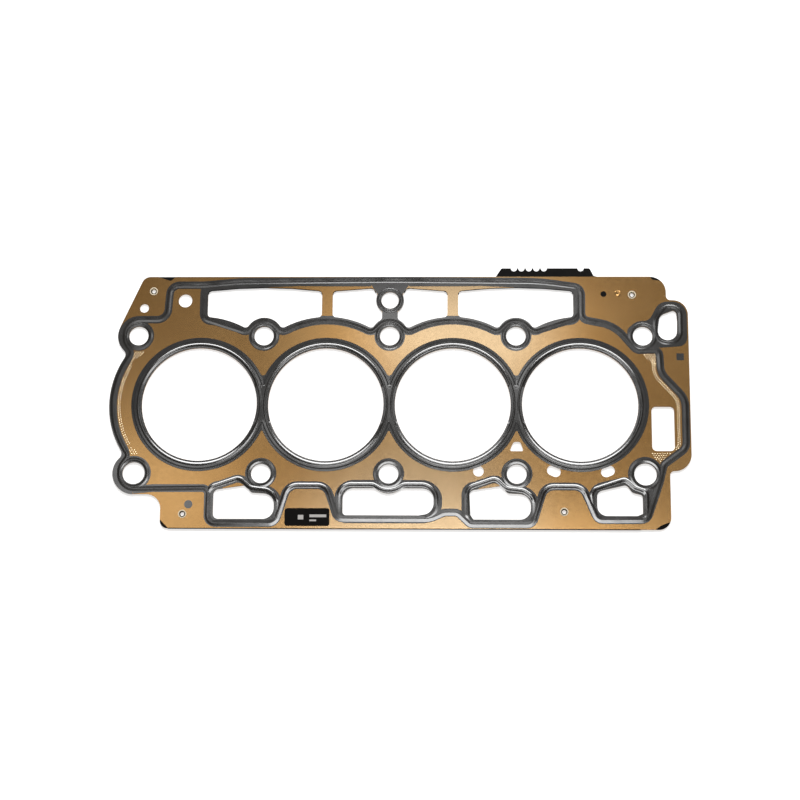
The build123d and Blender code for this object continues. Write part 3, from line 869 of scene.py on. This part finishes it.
def makeCamera():
    turnX, turnY, turnZ = (math.radians(a) for a in cameraSpec["turns"])
    turn = Matrix.Rotation(turnZ, 4, "Z") @ Matrix.Rotation(turnY, 4, "Y") @ Matrix.Rotation(turnX, 4, "X")
    back = turn.transposed()
    shiftX, shiftY = cameraSpec["shift"]
    spot = back @ Vector((-shiftX, -shiftY, cameraSpec["distance"]))
    data = bpy.data.cameras.new("photoCamera")
    data.lens = cameraSpec["lens"]
    data.sensor_width = 36.0
    data.clip_end = 100.0
    camera = bpy.data.objects.new("photoCamera", data)
    bpy.context.scene.collection.objects.link(camera)
    camera.matrix_world = Matrix.Translation(spot + Vector((0, 0, flatCoat["sheetTop"]))) @ back
    bpy.context.scene.camera = camera


makeCamera()
print("camera placed")

lamps = [  # each looks straight down, unless it has an aim
    {"name": "wideSky", "spot": (0.0, 0.31, 1.75), "size": (1.2, 0.62), "power": 0.45},
    {"name": "topBox", "spot": (0.04, 0.45, 1.6), "size": (0.4, 0.13), "power": 0.27},
    {"name": "overheadBox", "spot": (0.06, -0.04, 1.6), "size": (0.56, 0.27), "power": 2.5},
    {"name": "lowerLeft", "spot": (-0.42, 0.2, 1.6), "size": (0.25, 0.2), "power": 0.18},
    {"name": "backBox", "spot": (0.1, 1.23, 1.47), "aim": (0.0, 0.0), "size": (2.2, 0.54), "power": 33.0},
]


def makeLamp(spec):
    data = bpy.data.lights.new(spec["name"], "AREA")
    data.shape = "RECTANGLE"
    data.size, data.size_y = spec["size"]
    data.energy = spec["power"]
    lamp = bpy.data.objects.new(spec["name"], data)
    lamp.visible_camera = False
    bpy.context.scene.collection.objects.link(lamp)
    spot, aim = Vector(spec["spot"]), Vector((*spec.get("aim", spec["spot"][:2]), 0.0))
    lamp.matrix_world = Matrix.Translation(spot) @ (spot - aim).to_track_quat("Z", "Y").to_matrix().to_4x4()


for spec in lamps:
    makeLamp(spec)


stage = {
    "world": (0.1, 0.092, 0.08, 1.0),
    "floor": "#F4F4F4",
    "glow": 0.6,  # whitens the floor where it is looked at
    "drop": 0.0002,
    "reach": 8.0,
}


def makeWorld():
    world = bpy.data.worlds.new("studio")
    bpy.context.scene.world = world
    world.use_nodes = True
    tree = world.node_tree
    tree.nodes.clear()
    output = tree.nodes.new("ShaderNodeOutputWorld")
    background = addNode(tree, "ShaderNodeBackground", {"Color": stage["world"], "Strength": 1.0})
    tree.links.new(background.outputs[0], output.inputs["Surface"])


makeWorld()


def makeFloor():
    shape = bmesh.new()
    bmesh.ops.create_grid(shape, x_segments=1, y_segments=1, size=stage["reach"])
    mesh = toMesh("floor", shape)
    floor = bpy.data.objects.new("floor", mesh)
    bpy.context.scene.collection.objects.link(floor)
    material, tree, output, place = newMaterial("floorWhite")
    path = addNode(tree, "ShaderNodeLightPath")
    seen = path.outputs["Is Camera Ray"]
    for ray in ("Is Glossy Ray", "Is Transmission Ray"):
        either = addNode(tree, "ShaderNodeMath", {0: seen, 1: path.outputs[ray]}, operation="MAXIMUM")
        seen = either.outputs[0]
    glow = addNode(tree, "ShaderNodeMath", {0: seen, 1: stage["glow"]}, operation="MULTIPLY")
    shader = addNode(tree, "ShaderNodeBsdfPrincipled", {
        "Base Color": srgb(stage["floor"]), "Roughness": 0.9,
        "Emission Color": (1, 1, 1, 1), "Emission Strength": glow.outputs[0]})
    tree.links.new(shader.outputs[0], output.inputs["Surface"])
    mesh.materials.append(material)
    floor.location.z = -stage["drop"]


makeFloor()
bpy.context.scene.view_settings.view_transform = "Standard"
print("stage made")
